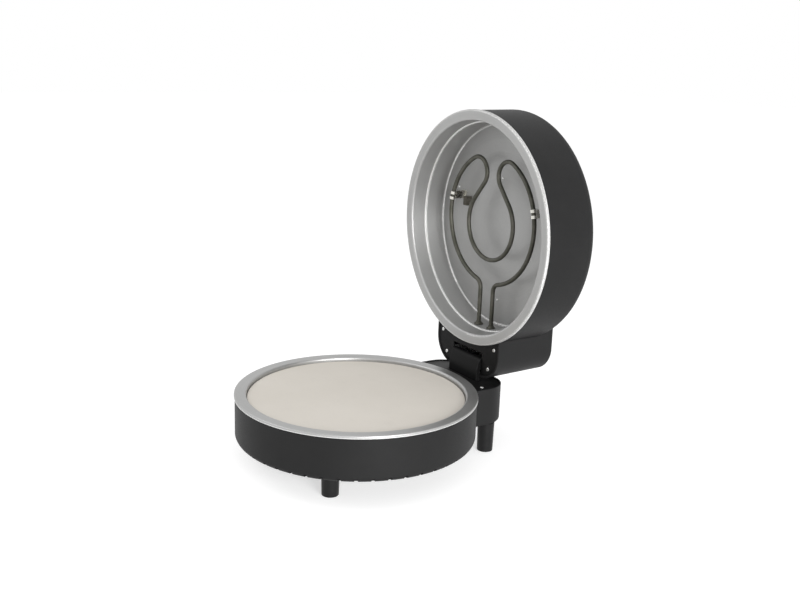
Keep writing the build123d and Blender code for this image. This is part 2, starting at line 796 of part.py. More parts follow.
frame_spots = [(-frame_screw_x, frame_screw_y), (frame_screw_x, frame_screw_y)]
with BuildPart() as lid_hinge_frame:
    ear_length = ear_back - ear_front
    ear_middle = (ear_back + ear_front) / 2
    for hand in (-1, 1):
        with BuildSketch(side_of(lid_frame, hand * ear_inside)):
            with Locations((ear_middle, lid_cover_back + ear_height / 2)):
                RectangleRounded(ear_length, ear_height, ear_corner)
            with Locations((ear_middle, lid_cover_back + ear_height / 4)):
                Rectangle(ear_length, ear_height / 2)
            with Locations((hinge_reach, hinge_over_rim)):
                Circle(pin_radius + pin_press_play, mode=Mode.SUBTRACT)
        extrude(amount=hand * ear_thickness)
        with BuildSketch(lid_frame.offset(lid_cover_back)):
            with Locations((hand * (ear_inside + ear_flange_width / 2), frame_screw_y)):
                Rectangle(ear_flange_width, ear_flange_length)
        extrude(amount=ear_flange_thickness)
    with BuildSketch(lid_frame.offset(lid_cover_back + ear_height - tie_thickness)):
        with Locations((0, ear_middle)):
            Rectangle(2 * ear_outside, ear_length - 2 * ear_corner)
    extrude(amount=tie_thickness)
    add(drill(lid_frame.offset(lid_cover_back + ear_flange_thickness), frame_spots,
              screw_radius + screw_play, ear_flange_thickness), mode=Mode.SUBTRACT)
export(lid_hinge_frame, "lid_hinge_frame")

# ---- lid: painted drum, pan and insulation ---------------------------------
handle_legs = handle_half_span - handle_bar / 2
handle_spots = [(-handle_legs, handle_y), (handle_legs, handle_y)]

with BuildPart() as lid_shell:
    add(drum_form(lid_frame, 1, lid_depth, drum_wall, lid_edge_round))
    add(leg_holes(lid_frame, upper_heater_depth, drum_radius - 3 * drum_wall, lid_housing_end,
                  heater_hole_radius), mode=Mode.SUBTRACT)
    add(drill(lid_frame.offset(lid_depth), handle_spots, screw_radius + screw_play,
              drum_wall), mode=Mode.SUBTRACT)
export(lid_shell, "lid_shell")

with BuildPart() as lid_pan:
    step_outer = lid_mouth_radius - lid_draft + half_sheet
    step_inner = step_outer - lid_step_width
    add(sheet_form(
        lid_frame,
        [
            (rim_radius - half_sheet, rim_lip_depth),
            (rim_radius - half_sheet, half_sheet),
            (lid_mouth_radius + half_sheet, half_sheet),
            (step_outer, lid_step_depth),
            (step_inner, lid_step_depth),
            (step_inner - lid_draft, lid_plate_depth + half_sheet),
            (0, lid_plate_depth + half_sheet),
        ],
        [lip_bend, pan_bend, lid_step_bend, lid_step_bend, pan_bend],
    ))
    add(leg_holes(lid_frame, upper_heater_depth, step_inner - 3 * pan_bend, drum_radius,
                  heater_hole_radius), mode=Mode.SUBTRACT)
export(lid_pan, "lid_pan")

with BuildPart() as insulation_blanket:
    with BuildSketch(lid_frame.offset(lid_plate_depth + sheet)):
        Circle(step_inner - lid_draft - blanket_margin)
    extrude(amount=blanket_thickness)
export(insulation_blanket, "insulation_blanket")

with BuildPart() as temperature_sensor:
    with BuildSketch(lid_frame.offset(lid_plate_depth)):
        with Locations((sensor_x, sensor_y)):
            Rectangle(sensor_width, sensor_length)
    extrude(amount=-sensor_height)
export(temperature_sensor, "temperature_sensor")

# ---- lid hinge housing -----------------------------------------------------
lid_cover_spots = [(-lid_cover_screw_x, lid_cover_screw_y), (lid_cover_screw_x, lid_cover_screw_y)]
lens_spots = [(-lens_x, lens_y), (lens_x, lens_y)]
housing_roof = lid_housing_depth - housing_wall


def lid_housing_block(inset, low, high, top_round):
    return housing_form(lid_frame, (lid_housing_start, lid_housing_end), lid_housing_nose, low, high,
                        inset, lid_depth, lid_edge_round, top_round, lid_housing_draft)


with BuildPart() as lid_hinge_housing:
    add(lid_housing_block(0, lid_housing_front, lid_housing_depth, lid_housing_round))
    add(lid_housing_block(housing_wall, 0, housing_roof, lid_housing_round), mode=Mode.SUBTRACT)
    with BuildSketch(lid_frame.offset(lid_cover_back)):
        with Locations(*lid_cover_spots):
            Circle(pillar_radius)
    extrude(amount=housing_roof - lid_cover_back)
    add(drill(lid_frame.offset(lid_cover_back + screw_depth), lid_cover_spots,
              screw_radius + screw_play, screw_depth), mode=Mode.SUBTRACT)
    add(drill(lid_frame.offset(lid_housing_depth), [(0, knob_y)], shaft_radius + 2 * screw_play,
              housing_wall), mode=Mode.SUBTRACT)
    add(drill(lid_frame.offset(lid_housing_depth), lens_spots, lens_stem_radius + screw_play,
              housing_wall), mode=Mode.SUBTRACT)
    add(leg_holes(lid_frame, upper_heater_depth, drum_radius - housing_wall,
                  drum_radius + 2 * housing_wall, terminal_seal_radius + heater_hole_play),
        mode=Mode.SUBTRACT)
export(lid_hinge_housing, "lid_hinge_housing")

with BuildPart() as lid_hinge_cover:
    add(lid_housing_block(housing_wall + cover_play, lid_cover_face, lid_cover_back, 0))
    with BuildSketch(lid_frame.offset(lid_cover_face)):
        with Locations((0, (slot_front + slot_back) / 2)):
            Rectangle(bracket_width + 2 * bracket_side_play, slot_back - slot_front)
    extrude(amount=cover_thickness, mode=Mode.SUBTRACT)
    add(drill(lid_frame.offset(lid_cover_back), lid_cover_spots + frame_spots,
              screw_radius + screw_play, cover_thickness), mode=Mode.SUBTRACT)
export(lid_hinge_cover, "lid_hinge_cover")

lid_cover_seat = Plane(lid_frame.from_local_coords((0, 0, lid_cover_face)),
                       x_dir=-lid_frame.x_dir, z_dir=-lid_frame.z_dir)
with BuildPart() as lid_cover_screws:
    add(screw_form(lid_cover_seat, [(-x, y) for x, y in lid_cover_spots + frame_spots],
                   screw_head_radius, screw_head_height, screw_radius,
                   cover_thickness + ear_flange_thickness + screw_radius))
export(lid_cover_screws, "lid_cover_screws")

# ---- controls on the lid housing -------------------------------------------
knob_centre = Plane(lid_frame.from_local_coords((0, knob_y, 0)),
                    x_dir=lid_frame.x_dir, z_dir=lid_frame.z_dir)

with BuildPart() as thermostat_dial:
    with BuildSketch(knob_centre.offset(lid_housing_depth)):
        Circle(dial_radius)
        Circle(shaft_radius + 2 * screw_play, mode=Mode.SUBTRACT)
    extrude(amount=dial_thickness)
    dial_face = thermostat_dial.faces().sort_by(axis_of(lid_frame))[-1]
    chamfer(dial_face.outer_wire().edges(), dial_thickness / 2)
export(thermostat_dial, "thermostat_dial")

with BuildPart() as thermostat:
    with BuildSketch(knob_centre.offset(housing_roof)):
        Rectangle(thermostat_width, thermostat_length)
    extrude(amount=-thermostat_height)
    with BuildSketch(knob_centre.offset(housing_roof)):
        Circle(shaft_radius + 2 * screw_play)
    extrude(amount=-thermostat_height / 2, mode=Mode.SUBTRACT)
export(thermostat, "thermostat")

with BuildPart() as thermostat_shaft:
    shaft_low = housing_roof - thermostat_height / 2 + knob_gap
    shaft_high = knob_base + shaft_length
    with BuildSketch(knob_centre.offset(shaft_low)):
        Circle(shaft_radius)
    extrude(amount=shaft_high - shaft_low)
    with BuildSketch(knob_centre.offset(knob_base)):
        with Locations((0, shaft_radius)):
            Rectangle(2 * shaft_radius, 2 * shaft_flat)
    extrude(amount=shaft_length, mode=Mode.SUBTRACT)
export(thermostat_shaft, "thermostat_shaft")

with BuildPart() as thermostat_knob:
    with BuildSketch(profile_of(knob_centre)):
        with BuildLine():
            FilletPolyline(
                (0, knob_base), (knob_radius, knob_base),
                (knob_radius - knob_draft, knob_base + knob_height), (0, knob_base + knob_height),
                radius=[0, 0, knob_round, 0], close=True,
            )
        make_face()
    revolve(axis=axis_of(knob_centre))
    with BuildSketch(knob_centre.offset(knob_base + knob_floor)):
        with PolarLocations(knob_radius + knob_flute_radius / 3, knob_flutes):
            Circle(knob_flute_radius)
    extrude(amount=knob_height, mode=Mode.SUBTRACT)
    with BuildSketch(knob_centre.offset(knob_base)):
        Circle(shaft_radius + screw_play)
        with Locations((0, shaft_radius)):
            Rectangle(2 * shaft_radius, 2 * (shaft_flat - screw_play), mode=Mode.SUBTRACT)
    extrude(amount=shaft_length + screw_play, mode=Mode.SUBTRACT)
export(thermostat_knob, "thermostat_knob")


def lens_form(spot):
    """Domed pilot-lamp lens with a stem through the housing's top."""
    dome_radius = (lens_radius**2 + lens_rise**2) / (2 * lens_rise)
    half_way = math.asin(lens_radius / dome_radius) / 2
    dome_top = lid_housing_depth + lens_rise
    lens_centre = Plane(lid_frame.from_local_coords((spot[0], spot[1], 0)),
                        x_dir=lid_frame.x_dir, z_dir=lid_frame.z_dir)
    with BuildPart() as lens:
        with BuildSketch(profile_of(lens_centre)):
            with BuildLine():
                Polyline(
                    (0, dome_top), (0, housing_roof),
                    (lens_stem_radius, housing_roof), (lens_stem_radius, lid_housing_depth),
                    (lens_radius, lid_housing_depth),
                )
                ThreePointArc(
                    (lens_radius, lid_housing_depth),
                    (dome_radius * math.sin(half_way),
                     dome_top - dome_radius * (1 - math.cos(half_way))),
                    (0, dome_top),
                )
            make_face()
        revolve(axis=axis_of(lens_centre))
    return lens.part


with BuildPart() as power_lamp_lens:
    add(lens_form(lens_spots[0]))
export(power_lamp_lens, "power_lamp_lens")

with BuildPart() as heating_lamp_lens:
    add(lens_form(lens_spots[1]))
export(heating_lamp_lens, "heating_lamp_lens")

with BuildPart() as pilot_lamps:
    with BuildSketch(lid_frame.offset(housing_roof)):
        with Locations(*lens_spots):
            Circle(lamp_radius)
    extrude(amount=-lamp_length)
export(pilot_lamps, "pilot_lamps")

# ---- lid handle ------------------------------------------------------------
with BuildPart() as lid_handle:
    with BuildSketch(across(lid_frame, handle_y + handle_width / 2)):
        with BuildLine():
            FilletPolyline(
                (-handle_legs, lid_depth),
                (-handle_legs, lid_depth + handle_rise - handle_bar / 2),
                (handle_legs, lid_depth + handle_rise - handle_bar / 2),
                (handle_legs, lid_depth),
                radius=handle_bend,
            )
        trace(line_width=handle_bar)
    extrude(amount=handle_width)
    long_edges = lid_handle.faces().filter_by(Axis(lid_frame.origin, lid_frame.y_dir)).edges()
    seat_edges = lid_handle.faces().sort_by(axis_of(lid_frame))[:2].edges()
    fillet([edge for edge in long_edges if edge not in seat_edges], handle_round)
    add(drill(lid_frame.offset(lid_depth + handle_screw_depth), handle_spots,
              screw_radius + screw_play, handle_screw_depth), mode=Mode.SUBTRACT)
export(lid_handle, "lid_handle")

handle_screw_seat = Plane(lid_frame.from_local_coords((0, 0, lid_depth - drum_wall)),
                          x_dir=-lid_frame.x_dir, z_dir=-lid_frame.z_dir)
with BuildPart() as handle_screws:
    add(screw_form(handle_screw_seat, [(-x, y) for x, y in handle_spots], screw_head_radius,
                   screw_head_height, screw_radius, drum_wall + handle_screw_depth - screw_radius))
export(handle_screws, "handle_screws")


# ---- feet ------------------------------------------------------------------
def foot_form(spots, top):
    """Tapered feet from the given drop under the ring, hollow below the web."""
    tip = foot_plane_drop - foot_pad_proud
    with BuildPart() as feet:
        for x, y in spots:
            centre = Plane(base_frame.from_local_coords((x, y, 0)))
            with BuildSketch(profile_of(centre)):
                with BuildLine():
                    FilletPolyline(
                        (foot_bore_radius, -top - foot_web), (foot_bore_radius, -tip),
                        (foot_tip_radius, -tip), (foot_radius, -top),
                        (screw_radius + screw_play, -top), (screw_radius + screw_play, -top - foot_web),
                        radius=[0, 0, foot_edge_round, 0, 0, 0], close=True,
                    )
                make_face()
            revolve(axis=axis_of(centre))
            with BuildSketch(centre.offset(-tip)):
                Circle(foot_pad_radius + screw_play)
            extrude(amount=foot_pad_height - foot_pad_proud, mode=Mode.SUBTRACT)
    return feet.part


with BuildPart() as front_feet:
    add(foot_form(front_spots, base_depth))
export(front_feet, "front_feet")

with BuildPart() as rear_feet:
    add(foot_form(rear_spots, base_housing_bottom))
export(rear_feet, "rear_feet")

with BuildPart() as foot_pads:
    with BuildSketch(base_frame.offset(-foot_plane_drop)):
        with Locations(*foot_spots):
            Circle(foot_pad_radius)
    extrude(amount=foot_pad_height)
export(foot_pads, "foot_pads")

with BuildPart() as foot_screws:
    for spots, top, floor in (
        (front_spots, base_depth, base_floor),
        (rear_spots, base_housing_bottom, housing_wall),
    ):
        seat = Plane(base_frame.from_local_coords((0, 0, -top - foot_web)),
                     x_dir=(-1, 0, 0), z_dir=(0, 0, -1))
        add(screw_form(seat, [(-x, y) for x, y in spots], screw_head_radius, screw_head_height,
                       screw_radius, foot_web + floor))
export(foot_screws, "foot_screws")
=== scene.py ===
import math

import bmesh
import bpy
from mathutils import Matrix, Vector


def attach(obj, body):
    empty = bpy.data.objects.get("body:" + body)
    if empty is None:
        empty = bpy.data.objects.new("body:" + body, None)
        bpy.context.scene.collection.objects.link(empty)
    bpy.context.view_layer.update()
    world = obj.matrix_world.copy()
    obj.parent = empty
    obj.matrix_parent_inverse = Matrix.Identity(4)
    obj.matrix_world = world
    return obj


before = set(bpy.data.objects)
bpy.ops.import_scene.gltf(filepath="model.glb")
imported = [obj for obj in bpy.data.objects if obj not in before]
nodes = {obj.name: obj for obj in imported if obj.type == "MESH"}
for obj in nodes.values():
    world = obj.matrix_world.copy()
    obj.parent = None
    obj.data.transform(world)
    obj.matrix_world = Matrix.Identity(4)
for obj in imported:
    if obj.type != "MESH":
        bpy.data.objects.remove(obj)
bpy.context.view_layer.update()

# Lay-out of the model, in metres.
AXIS_Y = -0.072                       # round axis of the base
RING_Z = 0.106                        # top of the base ring
LID = Vector((0, 0.1174, 0.329))      # centre of the lid's rim plane, lid open


def lid_point(x, y, depth):
    """Lid coordinates: x across, y towards the hinge, depth from the rim plane."""
    return Vector((x, LID.y + depth, LID.z - y))


# ---- node materials ----------------------------------------------------------
class Graph:
    """A material's node tree with short calls for what is used here."""

    def __init__(self, name):
        self.material = bpy.data.materials.new(name)
        self.material.use_nodes = True
        self.tree = self.material.node_tree
        self.tree.nodes.clear()
        self.out = self.tree.nodes.new("ShaderNodeOutputMaterial")
        self.shader = self.tree.nodes.new("ShaderNodeBsdfPrincipled")
        self.link(self.shader.outputs[0], self.out.inputs[0])
        self.where = self.tree.nodes.new("ShaderNodeTexCoord").outputs["Object"]

    def link(self, a, b):
        self.tree.links.new(a, b)

    def put(self, socket, value):
        """Links a socket's value, or sets a plain one."""
        if isinstance(value, bpy.types.NodeSocket):
            self.link(value, socket)
        else:
            socket.default_value = value

    def set(self, **values):
        names = {
            "color": "Base Color", "rough": "Roughness", "metal": "Metallic",
            "specular": "Specular IOR Level", "coat": "Coat Weight", "coat_rough": "Coat Roughness",
            "sheen": "Sheen Weight", "transmission": "Transmission Weight",
        }
        for key, value in values.items():
            self.put(self.shader.inputs[names[key]], value)
        return self

    def math(self, kind, a, b):
        node = self.tree.nodes.new("ShaderNodeMath")
        node.operation = kind
        self.put(node.inputs[0], a)
        self.put(node.inputs[1], b)
        return node.outputs[0]

    def stretched(self, scale):
        node = self.tree.nodes.new("ShaderNodeMapping")
        node.inputs["Scale"].default_value = scale
        self.link(self.where, node.inputs[0])
        return node.outputs[0]

    def noise(self, scale, detail=3.0, rough=0.5, vector=None, distortion=0.0):
        node = self.tree.nodes.new("ShaderNodeTexNoise")
        self.link(vector or self.where, node.inputs["Vector"])
        node.inputs["Scale"].default_value = scale
        node.inputs["Detail"].default_value = detail
        node.inputs["Roughness"].default_value = rough
        node.inputs["Distortion"].default_value = distortion
        return node.outputs["Fac"]

    def cells(self, scale):
        node = self.tree.nodes.new("ShaderNodeTexVoronoi")
        self.link(self.where, node.inputs["Vector"])
        node.inputs["Scale"].default_value = scale
        return node.outputs["Distance"]

    def spread(self, value, low, high, to_low=0.0, to_high=1.0):
        """Smooth step of value between low and high, or the other way round."""
        node = self.tree.nodes.new("ShaderNodeMapRange")
        node.interpolation_type = "SMOOTHSTEP"
        self.link(value, node.inputs["Value"])
        node.inputs["From Min"].default_value = low
        node.inputs["From Max"].default_value = high
        node.inputs["To Min"].default_value = to_low
        node.inputs["To Max"].default_value = to_high
        return node.outputs["Result"]

    def blend(self, factor, first, second):
        node = self.tree.nodes.new("ShaderNodeMix")
        node.data_type = "RGBA"
        self.put(node.inputs[0], factor)
        for socket, value in ((node.inputs[6], first), (node.inputs[7], second)):
            if not isinstance(value, bpy.types.NodeSocket):
                value = (*value, 1.0)
            self.put(socket, value)
        return node.outputs[2]

    def edges(self, radius):
        """0 on flats, 1 on rounded corners: how much a rounded normal leaves the true one; used for
        painted edge highlights.
        """
        bevel = self.tree.nodes.new("ShaderNodeBevel")
        bevel.samples = 6
        bevel.inputs["Radius"].default_value = radius
        normal = self.tree.nodes.new("ShaderNodeNewGeometry").outputs["Normal"]
        dot = self.tree.nodes.new("ShaderNodeVectorMath")
        dot.operation = "DOT_PRODUCT"
        self.link(bevel.outputs[0], dot.inputs[0])
        self.link(normal, dot.inputs[1])
        return self.spread(dot.outputs["Value"], 0.995, 0.80)

    def bump(self, height, strength, distance):
        node = self.tree.nodes.new("ShaderNodeBump")
        node.inputs["Strength"].default_value = strength
        node.inputs["Distance"].default_value = distance
        self.link(height, node.inputs["Height"])
        self.link(node.outputs[0], self.shader.inputs["Normal"])
        return self

    def radius(self, centre, along):
        """Distance from an axis through centre, along 'Y' or 'Z'."""
        move = self.tree.nodes.new("ShaderNodeVectorMath")
        move.operation = "SUBTRACT"
        self.link(self.where, move.inputs[0])
        move.inputs[1].default_value = centre
        flat = self.tree.nodes.new("ShaderNodeVectorMath")
        flat.operation = "MULTIPLY"
        self.link(move.outputs[0], flat.inputs[0])
        flat.inputs[1].default_value = (1, 0, 1) if along == "Y" else (1, 1, 0)
        length = self.tree.nodes.new("ShaderNodeVectorMath")
        length.operation = "LENGTH"
        self.link(flat.outputs[0], length.inputs[0])
        return length.outputs["Value"]


def black_enamel():
    """Satin black paint of both drums, slightly cloudy, with a fine orange peel."""
    g = Graph("black_enamel")
    cloud = g.noise(9.0, 4.0, 0.6)
    grain = g.noise(900.0, 2.0, 0.6)
    tone = g.blend(g.spread(cloud, 0.3, 0.7), (0.0092, 0.0092, 0.0094), (0.0126, 0.0126, 0.0128))
    g.set(color=tone, rough=g.spread(grain, 0.3, 0.7, 0.48, 0.58), specular=0.17)
    return g.bump(grain, 0.10, 0.0003).material


def housing_plastic():
    """Black plastic of the hinge housings, with a fine moulded grain."""
    g = Graph("housing_plastic")
    grain = g.cells(1500.0)
    cloud = g.noise(14.0, 3.0)
    tone = g.blend(g.spread(cloud, 0.3, 0.7), (0.0100, 0.0100, 0.0102), (0.0132, 0.0132, 0.0134))
    g.set(color=tone, rough=g.spread(cloud, 0.3, 0.7, 0.50, 0.60), specular=0.17)
    return g.bump(grain, 0.12, 0.0002).material


def cover_plastic():
    """Smooth deep black plastic of the hinge covers."""
    g = Graph("cover_plastic")
    streak = g.noise(160.0, 2.0, 0.5)
    tone = g.blend(g.spread(streak, 0.35, 0.65), (0.0050, 0.0050, 0.0051), (0.0070, 0.0070, 0.0071))
    g.set(color=tone, rough=g.spread(g.noise(35.0), 0.3, 0.7, 0.34, 0.46), specular=0.09)
    return g.bump(g.noise(1400.0, 2.0), 0.06, 0.0002).material


def bracket_paint():
    """Thin black paint, with the bracket's edges painted lighter as a painted highlight."""
    g = Graph("bracket_paint")
    grain = g.noise(1100.0, 3.0, 0.6)
    edge_highlight = g.edges(0.0012)
    # painted highlight: the bracket's edges get a lighter colour
    tone = g.blend(edge_highlight, (0.0050, 0.0050, 0.0051), (0.030, 0.030, 0.031))
    g.set(color=tone, rough=g.spread(grain, 0.3, 0.7, 0.36, 0.50), specular=0.10)
    return g.bump(grain, 0.12, 0.0002).material


def pan_metal(name, centre, along, shade, rough, metal, edge):
    """Pressed satin sheet: faint spinning rings, soft cloudiness, and edges painted brighter as a
    painted highlight.
    """
    def shaded(*tone):
        return [c * shade for c in tone]

    g = Graph(name)
    reach = g.radius(centre, along)
    ring_vector = g.tree.nodes.new("ShaderNodeCombineXYZ")
    g.link(reach, ring_vector.inputs[0])
    rings = g.noise(2600.0, 2.0, 0.6, ring_vector.outputs[0])
    broad = g.noise(260.0, 2.0, 0.5, ring_vector.outputs[0])
    cloud = g.noise(7.0, 4.0, 0.6)
    speck = g.noise(2400.0, 1.0)
    edge_highlight = g.edges(edge)
    tone = g.blend(g.spread(cloud, 0.3, 0.7), shaded(0.43, 0.43, 0.425), shaded(0.49, 0.49, 0.485))
    tone = g.blend(g.spread(broad, 0.35, 0.75, 0.0, 0.35), tone, shaded(0.40, 0.40, 0.395))
    tone = g.blend(g.spread(speck, 0.58, 0.72, 0.0, 0.30), tone, (0.60, 0.60, 0.59))
    # painted highlight: edges blended to a near-white colour
    tone = g.blend(edge_highlight, tone, (0.90, 0.90, 0.89))
    g.set(color=tone, metal=metal, rough=g.spread(cloud, 0.3, 0.7, rough, rough + 0.06))
    height = g.math("ADD", g.math("MULTIPLY", rings, 0.5), g.math("MULTIPLY", speck, 0.5))
    return g.bump(height, 0.26, 0.0002).material


def stone():
    """Cordierite: pale warm grey with fine grain, pores and cloudy patches."""
    g = Graph("stone")
    cloud = g.noise(5.0, 5.0, 0.6)
    blotch = g.noise(30.0, 4.0, 0.65)
    grain = g.noise(900.0, 3.0, 0.7)
    pores = g.cells(420.0)
    tone = g.blend(g.spread(cloud, 0.3, 0.7), (0.590, 0.556, 0.504), (0.620, 0.586, 0.535))
    tone = g.blend(g.spread(blotch, 0.55, 0.75, 0.0, 0.45), tone, (0.560, 0.528, 0.480))
    tone = g.blend(g.spread(grain, 0.60, 0.72, 0.0, 0.40), tone, (0.48, 0.45, 0.405))
    tone = g.blend(g.spread(pores, 0.10, 0.02, 0.0, 0.55), tone, (0.37, 0.345, 0.31))
    g.set(color=tone, rough=0.88, specular=0.25)
    pits = g.math("MULTIPLY", g.spread(pores, 0.0, 0.12), 0.5)
    height = g.math("ADD", g.math("MULTIPLY", grain, 0.6), pits)
    return g.bump(height, 0.22, 0.0004).material


def element_sheath():
    """Tubular element: dark oxidised sheath with bluish and olive patches."""
    g = Graph("element_sheath")
    cloud = g.noise(60.0, 4.0, 0.6)
    scale = g.noise(900.0, 3.0, 0.7)
    tone = g.blend(g.spread(cloud, 0.35, 0.65), (0.052, 0.052, 0.040), (0.085, 0.083, 0.068))
    tone = g.blend(g.spread(scale, 0.58, 0.70, 0.0, 0.5), tone, (0.13, 0.125, 0.105))
    g.set(color=tone, metal=0.55, rough=g.spread(cloud, 0.3, 0.7, 0.38, 0.52))
    return g.bump(scale, 0.18, 0.0002).material


def plain_metal(name, dark, light, rough, scale=300.0, stretch=(1, 1, 1), metal=1.0):
    """Drawn, rolled or plated metal with a fine grain along one direction."""
    g = Graph(name)
    grain = g.noise(scale, 3.0, 0.6, g.stretched(stretch))
    cloud = g.noise(40.0, 3.0)
    tone = g.blend(g.spread(grain, 0.3, 0.7), dark, light)
    tone = g.blend(g.spread(cloud, 0.5, 0.8, 0.0, 0.3), tone, [c * 0.7 for c in dark])
    g.set(color=tone, metal=metal, rough=g.spread(grain, 0.3, 0.7, rough - 0.05, rough + 0.06))
    return g.bump(grain, 0.12, 0.0002).material


def moulded(name, dark, light, rough, grain_scale=1200.0, specular=0.5):
    """Moulded or printed plastic with a fine grain and a slightly uneven gloss."""
    g = Graph(name)
    grain = g.noise(grain_scale, 2.0, 0.6)
    cloud = g.noise(50.0, 3.0)
    g.set(color=g.blend(g.spread(cloud, 0.3, 0.7), dark, light), specular=specular,
          rough=g.spread(cloud, 0.3, 0.7, rough - 0.05, rough + 0.05))
    return g.bump(grain, 0.10, 0.0002).material


def ceramic(name, dark, light, rough):
    """Pale ceramic, faintly cloudy, with a few darker pits."""
    g = Graph(name)
    grain = g.cells(700.0)
    cloud = g.noise(120.0, 4.0)
    tone = g.blend(g.spread(cloud, 0.3, 0.7), dark, light)
    tone = g.blend(g.spread(grain, 0.12, 0.03, 0.0, 0.3), tone, [c * 0.6 for c in dark])
    g.set(color=tone, rough=rough, specular=0.4)
    return g.bump(cloud, 0.12, 0.0003).material


def wool():
    """Felted mineral wool."""
    g = Graph("mineral_wool")
    fibres = g.noise(260.0, 6.0, 0.75, g.stretched((1, 6, 1)), 1.5)
    clump = g.noise(45.0, 4.0, 0.6)
    tone = g.blend(g.spread(fibres, 0.3, 0.7), (0.48, 0.44, 0.34), (0.74, 0.71, 0.61))
    tone = g.blend(g.spread(clump, 0.5, 0.75, 0.0, 0.4), tone, (0.42, 0.37, 0.27))
    g.set(color=tone, rough=0.95, specular=0.1, sheen=0.3)
    return g.bump(fibres, 0.6, 0.001).material


def lens(name, deep, bright):
    """Clear coloured lens with fine prism rings under the surface."""
    g = Graph(name)
    facets = g.cells(900.0)
    g.set(color=g.blend(g.spread(facets, 0.1, 0.5), bright, deep), rough=0.12, specular=0.6,
          transmission=0.35, coat=0.6, coat_rough=0.05)
    return g.bump(facets, 0.15, 0.0003).material


def rubber():
    """Matt black rubber with a little dust."""
    g = Graph("rubber")
    grain = g.noise(700.0, 3.0, 0.6)
    dust = g.noise(60.0, 4.0)
    tone = g.blend(g.spread(dust, 0.55, 0.8, 0.0, 0.5), (0.014, 0.014, 0.014), (0.045, 0.044, 0.042))
    g.set(color=tone, rough=0.78, specular=0.3)
    return g.bump(grain, 0.25, 0.0003).material


BLACK = black_enamel()
HOUSING = housing_plastic()
COVER = cover_plastic()
BRACKET = bracket_paint()
# the last number is the width of the painted edge highlight
BASE_PAN = pan_metal("base_pan_metal", (0, AXIS_Y, 0), "Z", 0.84, 0.37, 0.86, 0.0024)
LID_PAN = pan_metal("lid_pan_metal", (0, 0, LID.z), "Y", 0.80, 0.44, 0.64, 0.0036)
STONE = stone()
ELEMENT = element_sheath()
CLIP = plain_metal("clip_strip", (0.55, 0.54, 0.50), (0.72, 0.71, 0.66), 0.26)
ZINC = plain_metal("zinc_plate", (0.58, 0.58, 0.57), (0.76, 0.76, 0.75), 0.28, 500.0)
STEEL = plain_metal("drawn_steel", (0.42, 0.42, 0.42), (0.60, 0.60, 0.60), 0.24, 500.0,
                    (0.1, 1, 1))
SHIELD = plain_metal("mill_aluminium", (0.55, 0.55, 0.55), (0.68, 0.68, 0.68), 0.34, 220.0,
                     (0.06, 1, 1))
SENSOR = plain_metal("sensor_case", (0.060, 0.056, 0.045), (0.120, 0.112, 0.092), 0.42, 400.0,
                     metal=0.6)
SEAL = ceramic("seal_ceramic", (0.66, 0.63, 0.56), (0.76, 0.73, 0.66), 0.65)
BLOCK = ceramic("block_ceramic", (0.72, 0.70, 0.64), (0.80, 0.78, 0.72), 0.25)
FUSE = ceramic("fuse_sleeve", (0.60, 0.57, 0.47), (0.72, 0.69, 0.60), 0.6)
WOOL = wool()
RUBBER = rubber()
FOOT = moulded("foot_plastic", (0.0060, 0.0060, 0.0062), (0.0090, 0.0090, 0.0092), 0.42,
               specular=0.22)
HANDLE = moulded("handle_plastic", (0.0120, 0.0120, 0.0122), (0.0180, 0.0180, 0.0182), 0.46,
                 1500.0, 0.42)
KNOB = moulded("knob_plastic", (0.0085, 0.0085, 0.0087), (0.0125, 0.0125, 0.0127), 0.30, 1500.0)
SWITCH = moulded("switch_body", (0.62, 0.58, 0.46), (0.70, 0.66, 0.54), 0.45, 600.0, 0.4)
LAMP = moulded("lamp_body", (0.66, 0.64, 0.58), (0.74, 0.72, 0.66), 0.40, 600.0, 0.4)
RED = lens("lens_red", (0.30, 0.010, 0.006), (0.75, 0.06, 0.03))
GREEN = lens("lens_green", (0.010, 0.16, 0.03), (0.08, 0.55, 0.14))
DIAL = plain_metal("dial_plate", (0.40, 0.40, 0.40), (0.52, 0.52, 0.52), 0.30, 400.0,
                   (0.05, 1, 1))
PRINT = moulded("dial_print", (0.010, 0.010, 0.010), (0.016, 0.016, 0.016), 0.55, 900.0, 0.3)
WHITE = moulded("pointer_paint", (0.74, 0.74, 0.72), (0.80, 0.80, 0.78), 0.45, 900.0, 0.4)
# painted shade standing for the screws' cross recesses
RECESS = moulded("recess_shade", (0.020, 0.020, 0.020), (0.035, 0.035, 0.035), 0.5, 900.0, 0.3)

LOOKS = {
    "base_shell": BLACK, "lid_shell": BLACK,
    "base_hinge_housing": HOUSING, "lid_hinge_housing": HOUSING,
    "base_hinge_cover": COVER, "lid_hinge_cover": COVER,
    "hinge_bracket": BRACKET,
    "base_pan": BASE_PAN, "lid_pan": LID_PAN, "baking_stone": STONE,
    "lower_heater": ELEMENT, "upper_heater": ELEMENT,
    "lower_heater_clips": CLIP, "upper_heater_clips": CLIP, "pin_clips": CLIP,
    "lower_terminal_seals": SEAL, "upper_terminal_seals": SEAL,
    "lower_terminal_pins": STEEL, "upper_terminal_pins": STEEL,
    "hinge_pin": STEEL, "thermostat_shaft": STEEL,
    "heat_shield": SHIELD, "shield_posts": ZINC, "thermal_fuse": FUSE,
    "base_cover_screws": ZINC, "bracket_screws": ZINC, "lid_cover_screws": ZINC,
    "foot_screws": ZINC, "handle_screws": ZINC, "lid_hinge_frame": ZINC,
    "terminal_block": BLOCK, "cord_gland": RUBBER, "foot_pads": RUBBER,
    "front_feet": FOOT, "rear_feet": FOOT, "insulation_blanket": WOOL,
    "temperature_sensor": SENSOR, "lid_handle": HANDLE,
    "thermostat_knob": KNOB, "thermostat_dial": DIAL,
    "thermostat": SWITCH, "pilot_lamps": LAMP,
    "power_lamp_lens": RED, "heating_lamp_lens": GREEN,
}
for name, material in LOOKS.items():
    mesh = nodes[name].data
    mesh.materials.clear()
    mesh.materials.append(material)
    for polygon in mesh.polygons:
        polygon.material_index = 0


